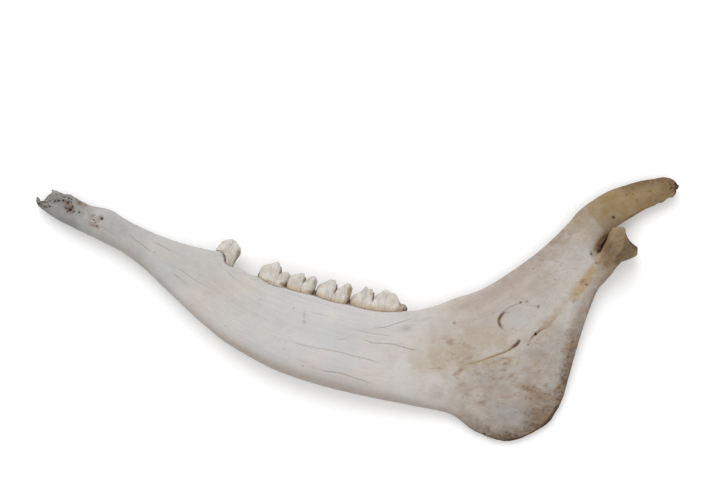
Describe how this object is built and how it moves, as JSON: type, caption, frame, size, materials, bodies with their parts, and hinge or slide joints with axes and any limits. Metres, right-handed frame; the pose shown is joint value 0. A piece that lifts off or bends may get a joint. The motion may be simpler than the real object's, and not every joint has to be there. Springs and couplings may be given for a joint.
{
  "type": "moose jawbone",
  "caption": "Right half of a dry moose lower jaw lying on its outer side, with cheek teeth, broken front end, wide angle, hooked coronoid process and joint head.",
  "frame": {"origin": "middle of the outline seen from above, at the level of the rest points", "axes": "+X back along the jaw towards the coronoid tip, +Y towards the chewing edge, +Z towards the inner side, which faces up as the bone lies"},
  "size_m": [0.4875, 0.1989, 0.0424],
  "materials": {
    "bone": "dry matt bone, pale warm grey, stained brown at the angle and the processes",
    "enamel": "worn tooth enamel, off-white, satin"
  },
  "bodies": {
    "root": {"jawbone": "bone"}
  },
  "joints": []
}
